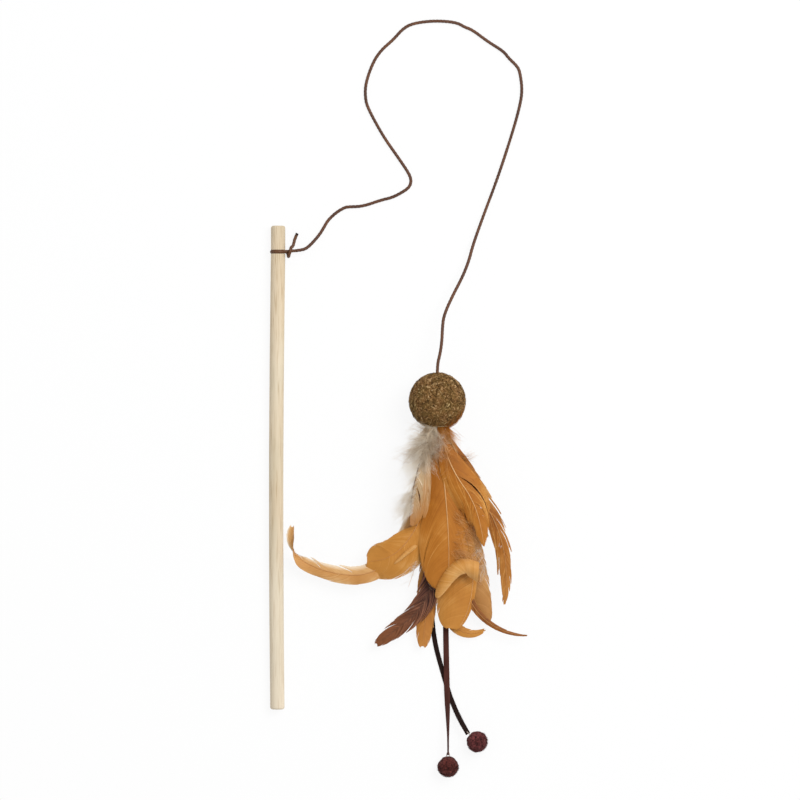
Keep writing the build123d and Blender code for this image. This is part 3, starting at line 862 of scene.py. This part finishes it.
# Loose curly down from a stretch of the shaft, in locks, on the sides given
def lay_down(
    strands, vane, count, stretch, reach,
    leans=(-0.3, 1.6), ways=(-1, 1), slot=2, inset=0.0, thick=0.00012, spread=0.25, wave=0.3,
):
    steps = np.linspace(0, 1, 10)
    locks = max(count // lock_size, 1)
    lock = draw.integers(0, locks, count)

    def shared(least, most, stray):
        return (least + (most - least) * draw.random(locks))[lock] + stray * draw.normal(0, 1, count)

    height = np.clip(shared(*stretch, 0.012), 0, 0.99)
    way = draw.choice(ways, locks)[lock]
    shares = vane.quill + (1 - vane.quill) * height
    side = vane.at(vane.sides, shares) * way[:, None]
    ahead = vane.at(vane.ways, shares)
    up = vane.at(vane.ups, shares)
    base = vane.place(height, vane.shaft_out + way * inset * shared(0.3, 1.5, 0.1))[0]
    base = base - side * (0.0025 * draw.random(count) ** 2)[:, None]
    base = base + up * (0.0018 * draw.random(count))[:, None]
    length = reach * np.clip(shared(0.3, 1.0, 0.08), 0.15, 1.2)
    lean = shared(*leans, 0.15)
    rise = spread * draw.normal(0, 1, locks)[lock] + 0.12 * draw.normal(0, 1, count)
    heading = unit(side + ahead * lean[:, None] + up * rise[:, None])
    curl = unit(draw.normal(0, 1, (locks, 3))[lock] + 0.25 * draw.normal(0, 1, (count, 3)))
    phase = shared(0, 2 * math.pi, 0.25)
    rate = shared(2, 8, 0.3)
    waves = np.sin(phase[:, None] + steps * rate[:, None]) * steps
    paths = base[:, None] + heading[:, None] * (length[:, None] * steps)[..., None]
    paths = paths + curl[:, None] * (waves * length[:, None] * wave)[..., None]
    paths = paths + ahead[:, None] * (0.3 * length[:, None] * steps**2)[..., None]
    paths[..., 2] = np.maximum(paths[..., 2], least_height)
    tones = np.clip(shared(0, 1, 0.12), 0, 1)
    strands.add(paths, up[:, None], thick * (1.15 - 0.9 * steps), 0.8, slot, tones, 0.6)


# The shaft, from inside the glue to the tip
def lay_shaft(strands, vane, slot, radius, lift):
    heights = np.linspace(0, 0.97, 48)
    line, up = vane.place(heights, np.full(48, vane.shaft_out))
    line = line + up * lift
    foot = vane.at(vane.line, np.linspace(0, vane.quill, 4)[:3])
    stub = foot[0] + np.array((0, 0.0035, 0))
    line = np.concatenate([stub[None], foot, line])
    up = np.concatenate([np.repeat(up[:1], 4, axis=0), up])
    shares = np.linspace(0, 1, len(line))
    strands.add(line[None], up, 2 * radius * (1 - 0.85 * shares), 0.6, slot, np.array([0.5]), shares)


# Camera, straight over the toy
def set_camera():
    camera = bpy.data.cameras.new("camera")
    camera.sensor_width = sensor_mm
    camera.lens = sensor_mm * camera_height / view_width
    camera.clip_end = camera_clip
    holder = new_object("camera", camera)
    holder.location = (*view_centre, camera_height)
    bpy.context.scene.camera = holder


# A white floor that keeps a faint shadow and lets what hangs below it be seen, under a soft lamp
def set_stage():
    bpy.ops.object.select_all(action="DESELECT")
    bpy.ops.mesh.primitive_plane_add(size=floor_size, location=(0, 0, -floor_drop))
    floor = bpy.context.object
    floor.name = "floor"
    paint = Finish("white_floor", 0.9, gloss=0)
    paint.link("Base Color", solid(grey(floor_grey)))
    glow = paint.node("ShaderNodeEmission", None, {"Color": (1, 1, 1, 1)})
    clear = paint.node("ShaderNodeBsdfTransparent")
    behind = paint.node("ShaderNodeNewGeometry", out="Backfacing")
    top = Shade(paint, paint.shader.outputs[0])
    for ray, share, other in (
        ("Is Glossy Ray", floor_share, glow),
        ("Is Camera Ray", floor_share, clear),
        ("Is Shadow Ray", behind, clear),
    ):
        part = paint.node("ShaderNodeLightPath", out=ray) * share
        top = paint.node("ShaderNodeMixShader", None, {0: part, 1: top, 2: other})
    paint.feed(paint.tree.nodes["Material Output"].inputs[0], top)
    floor.data.materials.append(paint.material)
    world = bpy.data.worlds.new("studio")
    world.use_nodes = True
    bpy.context.scene.world = world
    sky = Nodes(world.node_tree)
    back = sky.tree.nodes["Background"]
    seen = sky.node("ShaderNodeLightPath", out="Is Camera Ray")
    level = sky.node("ShaderNodeMapRange", None, {"Value": seen, "To Min": sky_light, "To Max": 1.0})
    sky.feed(back.inputs["Color"], (1, 1, 1, 1))
    sky.feed(back.inputs["Strength"], level)
    lamp = bpy.data.lights.new("soft_box", "AREA")
    lamp.shape = "DISK"
    lamp.size = lamp_size
    lamp.energy = lamp_power
    holder = new_object("soft_box", lamp)
    holder.location = lamp_place
    aim = Vector(lamp_target) - Vector(lamp_place)
    holder.rotation_euler = aim.to_track_quat("-Z", "Y").to_euler()


# The stick, with its groove, rounded ends and slight bow
def make_stick(material):
    low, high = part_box("wand_dowel")
    middle_x, _, middle_z = middle_of("wand_dowel")
    profile = [(low[1], (stick_radius - stick_end_round) / 2)]
    for step in range(stick_end_steps + 1):
        turn = math.pi / 2 * step / stick_end_steps
        shrink = stick_end_round * (1 - math.sin(turn))
        profile.append((low[1] + stick_end_round * (1 - math.cos(turn)), stick_radius - shrink))
    top = [(low[1] + high[1] - far, wide) for far, wide in reversed(profile)]
    first = profile[-1][0]
    groove_low = groove_y - groove_half_width
    groove_high = groove_y + groove_half_width
    for step in range(1, stick_rings):
        profile.append((first + (groove_low - first) * step / stick_rings, stick_radius))
    profile += [(groove_low, stick_radius), (groove_low, stick_radius - groove_depth)]
    profile += [(groove_high, stick_radius - groove_depth), (groove_high, stick_radius)]
    profile += top
    points = []
    for far, wide in profile:
        share = min(max((far - low[1]) / (groove_y - low[1]), 0), 1)
        bow = stick_lean * (1 - share) + stick_bow * math.sin(math.pi * share)
        for side in range(stick_sides):
            turn = 2 * math.pi * side / stick_sides
            across, up = math.cos(turn), math.sin(turn)
            waver = noise.noise((across * 0.8, far * 22, up * 0.8)) * stick_waver
            reach = wide + waver * (wide > stick_radius * 0.9)
            points.append((middle_x - bow + reach * across, far, middle_z + reach * up))
    # These rings run the other way round, so each face is turned over
    faces = [(face[0], *reversed(face[1:])) for face in tube_faces(len(profile), stick_sides)]
    piece = make_piece("pine_stick", points, faces, [material])
    bpy.ops.object.select_all(action="DESELECT")
    piece.select_set(True)
    bpy.context.view_layer.objects.active = piece
    bpy.ops.object.shade_smooth_by_angle(angle=math.radians(40))
    hand_over(piece, "wand", "pine", "wand_dowel")


# The cord: tail, hitch and turn on the stick, then the free run into the ball
def make_cord(material, worn):
    stick_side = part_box("wand_dowel")[1][0]
    stick_x, _, stick_z = middle_of("wand_dowel")
    wide = 2 * cord_radius
    twist = (cord_strands, cord_sides, cord_pitch, cord_dip)

    def beside(x, y, z):
        return (stick_side + x * wide, groove_y + y * wide, stick_z + z * wide)

    corner = loop_radius / math.cos(math.pi / loop_sides)
    turn = []
    for side in range(loop_sides - 1):
        angle = math.pi * (2 * side + 1) / loop_sides
        turn.append((stick_x + corner * math.cos(angle), groove_y, stick_z + corner * math.sin(angle)))
    standing = beside(*standing_shares)
    lead = np.array(standing) - np.array(turn[0])
    lead = np.array(standing) + lead / np.linalg.norm(lead) * lead_length
    tie = [beside(*shares) for shares in reversed(hitch_shares)] + turn[::-1] + [standing]
    tie_points = spline_points(tie, tie_resolution)
    tied = np.hypot(tie_points[:, 0] - stick_x, tie_points[:, 2] - stick_z) < stick_radius
    radii = cord_radius * np.where(tied, band_swell, cord_swell)
    tie_piece = twisted_tube("cord_hitch", tie_points, radii, *twist, worn)
    hand_over(tie_piece, "cord_run", "waxed_cord", "cord_tie")
    points = spline_points([standing, tuple(lead)] + metres(cord_route), cord_resolution)
    start = route_length(tie_points)
    cord = twisted_tube("long_cord", points, cord_radius * cord_swell, *twist, material, start)
    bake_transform(cord)
    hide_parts("cord", "cord_end")


# A feather of barbs, shaft and down, in place of its solid
def make_feather(name, look):
    paint, gap, lean, split, ragged, streaks_and_highlights, cup, shaft_out, tufts, reach, stretch = look
    rolls = twisted_rolls.get(name, flat_rolls)
    vane = Vane(feather_shares[name], rolls, cup, curled_ends.get(name, 0), shaft_out)
    strands = Strands()
    if gap:
        lay_barbs(strands, vane, gap, lean, split, ragged, streaks_and_highlights, **one_sided.get(name, {}))
    for *place, ways in more_down.get(name, []):
        lay_down(strands, vane, *place, **ways)
    if name in rolled_edges:
        lay_roll(strands, *rolled_edges[name])
    lay_shaft(strands, vane, 1, *thick_shafts.get(name, usual_shaft))
    lay_down(strands, vane, tufts, stretch, reach, **({} if gap else wispy_down))
    piece = strands.piece(name + "_feather", [finishes[part] for part in feather_finishes[paint]])
    hand_over(piece, "lure", finish_slots.get(paint, usual_slot), "feather_" + name)


# A rough ball: a fine sphere pushed in and out by layers of noise
def rough_ball(name, middle, radius, fine, coarse, levels, material):
    bpy.ops.object.select_all(action="DESELECT")
    bpy.ops.mesh.primitive_ico_sphere_add(subdivisions=levels, radius=radius, location=middle)
    bpy.ops.object.transform_apply(location=True)
    ball = bpy.context.object
    ball.name = name
    ball.data.name = name
    tones = []
    for vertex in ball.data.vertices:
        way = (vertex.co - Vector(middle)).normalized()
        lump = noise.noise(way * 3.1) * coarse
        crumb = noise.fractal(way * radius * 1500, 1.0, 2.1, 4) * fine
        vertex.co += way * (lump + crumb)
        # Each point's tone follows how far the fine crumbs push it in or out: painted shade in the pits and
        # painted light on the raised crumbs
        tones.append(min(max(0.5 + crumb / fine * 0.6, 0), 1))
    attribute = ball.data.attributes.new("tone", "FLOAT", "POINT")
    attribute.data.foreach_set("value", tones)
    ball.data.materials.append(material)
    bpy.ops.object.shade_smooth()
    return ball


# Shreds or hairs that lie on a ball, and sink into it on the side that is kept clear
def lay_on_ball(strands, middle, radius, count, lengths, widths, stand, thick, curl, clear=(0, 0, 0)):
    steps = np.linspace(0, 1, 4)
    out = unit(draw.normal(0, 1, (count, 3)))
    level = unit(np.cross(out, unit(draw.normal(0, 1, (count, 3)))))
    long = lengths[0] + (lengths[1] - lengths[0]) * draw.random(count) ** 1.5
    wide = widths[0] + (widths[1] - widths[0]) * draw.random(count)
    angle = long[:, None] * steps / radius
    way = out[:, None] * np.cos(angle)[..., None] + level[:, None] * np.sin(angle)[..., None]
    flat = way @ np.array(clear) > seam_reach
    rise = np.where(flat, 0, draw.random(count)[:, None] * steps**2)
    lifted = radius + stand[0] + (stand[1] - stand[0]) * rise - np.where(flat, fuzz_depth, 0)
    side = np.cross(out, level)
    bow = (draw.random(count) - 0.5)[:, None] * curl * long[:, None] * steps**2
    paths = np.array(middle) + way * lifted[..., None] + side[:, None] * bow[..., None]
    taper = 1 - 0.8 * np.abs(2 * steps - 0.8) ** 2 / 1.44
    strands.add(paths, way, wide[:, None] * taper, thick)


# The pressed ball: a crumbly core and loose shreds
def make_ball(material):
    middle = middle_of("catnip_ball")
    middle[1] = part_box("catnip_ball")[1][1] - ball_radius
    radius = ball_radius - shred_depth
    core = rough_ball("catnip_ball_core", middle, radius, 0.0006, 0.0004, 6, material)
    hand_over(core, "lure", "pressed_catnip", "catnip_ball")
    strands = Strands()
    for row in ball_shreds:
        lay_on_ball(strands, middle, radius, *row)
    hand_over(strands.piece("catnip_shreds", [material]), "lure", "pressed_catnip")
    return middle


# Stray barbs that lie over the ball's lower right
def lay_strays(strands, middle, count):
    steps = np.linspace(0, 1, 9)
    turn = np.radians(draw.uniform(-80, -30, count))
    start = np.radians(draw.uniform(60, 84, count))
    sweep = np.radians(draw.uniform(7, 21, count))
    polar = start[:, None] - sweep[:, None] * steps
    heading = turn[:, None] + np.radians(draw.uniform(-6, 34, count))[:, None] * steps
    away = ball_radius + 0.0004 + 0.0012 * draw.random(count)[:, None] * (0.3 + steps)
    level = np.sin(polar)
    ups = np.stack([level * np.cos(heading), level * np.sin(heading), np.cos(polar)], axis=-1)
    strands.add(np.array(middle) + ups * away[..., None], ups, neck_width * (1.1 - steps), 0.6)


# Short fluff round the roots, from under the ball outwards and down, on one side
def lay_neck(strands, middle, count, slot, way):
    steps = np.linspace(0, 1, 8)
    turn = np.pi * (draw.random(count) - 0.5) + (0 if way > 0 else np.pi)
    away = neck_radius * np.sqrt(draw.random(count))
    ring = np.stack([np.cos(turn), np.zeros(count), np.sin(turn)], axis=-1)
    foot = np.array(middle) + ring * away[:, None] + np.array((0.0, -neck_drop, 0.0))
    outward = ring * (away / neck_radius)[:, None]
    stray = draw.normal(0, 0.25, (count, 3))
    heading = unit(outward * 0.45 + stray + np.array((0.15 * way, -1.0, 0.1)))
    long = 0.006 + 0.012 * draw.random(count)
    curl = unit(draw.normal(0, 1, (count, 3)))
    phase = 2 * math.pi * draw.random(count)
    waves = np.sin(phase[:, None] + steps * (2 + 5 * draw.random(count))[:, None]) * steps
    paths = foot[:, None] + heading[:, None] * (long[:, None] * steps)[..., None]
    paths = paths + curl[:, None] * (waves * long[:, None] * 0.14)[..., None]
    paths[..., 2] = np.maximum(paths[..., 2], least_height)
    ups = unit(outward + 0.4 * upward)[:, None]
    strands.add(paths, ups, neck_width * (1.15 - steps), 0.6, slot, height=0.6)


# The fluff and stray barbs where the feathers leave the ball
def make_neck(middle, orange, cream):
    strands = Strands()
    lay_strays(strands, middle, stray_count)
    for slot, (count, way) in enumerate(zip(neck_counts, (1, -1))):
        lay_neck(strands, middle, count, slot, way)
    hand_over(strands.piece("neck_fluff", [orange, cream]), "lure", "orange_feather")


# A felt ball with its fuzz, which lies flat by the seam
def make_felt(letter, hole, material):
    middle = middle_of("felt_ball_" + letter)
    body = "felt_" + letter
    radius = felt_radius - fuzz_depth
    core = rough_ball("felt_core_" + letter, middle, radius, 0.0003, 0.0005, 5, material)
    hand_over(core, body, "felt", "felt_ball_" + letter)
    strands = Strands()
    lay_on_ball(strands, middle, radius, *felt_fuzz, unit(np.array(hole) - middle))
    fuzz = strands.piece("felt_fuzz_" + letter, [material])
    hand_over(fuzz, body, "felt")
    return [core, fuzz]


# The stitch that holds a felt ball to its strip
def make_stitch(letter, hole, way, pin, material):
    hole = np.array(hole)
    leg = np.array(way) * stitch_leg
    rise = np.array(pin) * (strip_thickness / 2 + stitch_rise)
    control = [hole + leg + rise, hole + rise, hole - rise, hole + leg - rise]
    points = spline_points(control, strip_resolution)
    name = "stitch_thread_" + letter
    piece = twisted_tube(name, points, thread_radius, 2, 10, thread_pitch, 0.3, material)
    hand_over(piece, "felt_" + letter, "thread", "stitch_" + letter)
    return piece


# A number's power that keeps its sign
def signed_power(value, power):
    return math.copysign(abs(value) ** power, value)


# A suede strip with rounded edges and a short nap, which leaves the root and the stitch clear
def make_strip(letter, route, material, slot):
    wide = strip_widths[letter]
    points = spline_points(metres(row[:3] for row in route), strip_resolution)
    turns = spline_points([(row[3], 0, 0) for row in route], strip_resolution)[:, 0]
    ways = unit(np.gradient(points, axis=0))
    level = unit(np.cross(upward, ways))
    rise = np.cross(ways, level)
    turn = np.radians(turns)[:, None]
    sides = level * np.cos(turn) + rise * np.sin(turn)
    ups = np.cross(ways, sides)
    rows = []
    for number, (spot, side, up) in enumerate(zip(points, sides, ups)):
        waver = 1 + 0.05 * noise.noise((number * 0.11, 3.0 if letter == "a" else 8.0, 0))
        for corner in range(strip_ring):
            angle = 2 * math.pi * (corner + 0.5) / strip_ring
            x = signed_power(math.cos(angle), 0.3) * wide / 2 * waver
            z = signed_power(math.sin(angle), 0.5) * strip_thickness / 2
            rows.append(spot + side * x + up * z)
    count = len(points)
    faces = tube_faces(count, strip_ring)
    strip = make_piece("suede_strip_" + letter + "_leather", rows, faces, [material])
    body = "strip_" + letter
    hand_over(strip, body, slot, "suede_strip_" + letter)
    stop = np.sum(np.linalg.norm(points - points[-1], axis=1) > nap_clear)
    pick = draw.integers(count // 8, stop, nap_count)
    on_edge = draw.random(nap_count) < 0.6
    edge_side = np.sign(draw.random(nap_count) - 0.5)
    across = np.where(on_edge, edge_side, 2 * draw.random(nap_count) - 1)
    top = np.sign(draw.random(nap_count) - 0.4)
    edge = np.abs(across) >= 1
    base = points[pick] + sides[pick] * (across * wide * 0.49)[:, None]
    base = base + ups[pick] * (top * strip_thickness * 0.46 * ~edge)[:, None]
    outward = sides[pick] * np.sign(across)[:, None]
    grow = np.where(edge[:, None], outward, ups[pick] * (top * 0.35)[:, None])
    lean = ways[pick] * draw.normal(0, 0.8, nap_count)[:, None] + draw.normal(0, 0.3, (nap_count, 3))
    heading = unit(grow + lean)
    steps = np.linspace(0, 1, 3)
    long = 0.0002 + 0.0004 * draw.random(nap_count)
    paths = base[:, None] + heading[:, None] * (long[:, None] * steps)[..., None]
    paths[..., 2] = np.maximum(paths[..., 2], 0.00005)
    nap = Strands()
    nap.add(paths, unit(np.cross(heading, ways[pick]))[:, None], nap_width * (1.2 - steps), 0.8)
    fibres = nap.piece("suede_nap_" + letter, [material])
    hand_over(fibres, body, slot)
    round(route_length(points), 3)


bpy.context.scene.view_settings.view_transform = "Standard"
set_camera()
set_stage()
cotton = cord_finish("waxed_cotton", tint(190, 170, 160), tint(255, 236, 214))
worn_cotton = cord_finish("worn_cotton", tint(226, 206, 176), tint(255, 250, 226))
make_cord(cotton, worn_cotton)
make_stick(pine_finish())
ball_middle = make_ball(catnip_finish())

finishes = {}
for make_finish, tints in ((shaft_finish, horn_tints), (barb_finish, barb_tints)):
    for title, colours in tints.items():
        finishes[title] = make_finish(title, *[tint(*colour) for colour in colours])
for feather, look in feather_looks.items():
    make_feather(feather, look)
make_neck(ball_middle, finishes["orange_barbs"], finishes["cream_down"])

thread = thread_finish()
heading = math.radians(46)
way_b = (math.sin(heading), -math.cos(heading), 0)
hole_a = (0.0346, -0.1750, felt_radius)
hole_b = (0.0476, -0.1606, felt_radius)
felt_a = make_felt("a", hole_a, felt_finish("plum_felt", tint(16, 4, 4), tint(118, 60, 54)))
felt_b = make_felt("b", hole_b, felt_finish("wine_felt", tint(20, 6, 6), tint(130, 68, 68)))
felt_a.append(make_stitch("a", hole_a, (0, -1, 0), (1, 0, 0), thread))
felt_b.append(make_stitch("b", hole_b, way_b, (0, 0, 1), thread))
red_suede = suede_finish("red_brown_suede", tint(56, 27, 22), tint(92, 54, 47))
dark_suede = suede_finish("dark_suede", tint(22, 12, 9), tint(50, 34, 30))
make_strip("a", strip_a_route, red_suede, "suede")
make_strip("b", strip_b_route, dark_suede, "suede_dark")
for node, material in (("glue_plug", glue_finish()), ("stopper_knot", cotton)):
    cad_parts[node].data.materials.clear()
    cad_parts[node].data.materials.append(material)
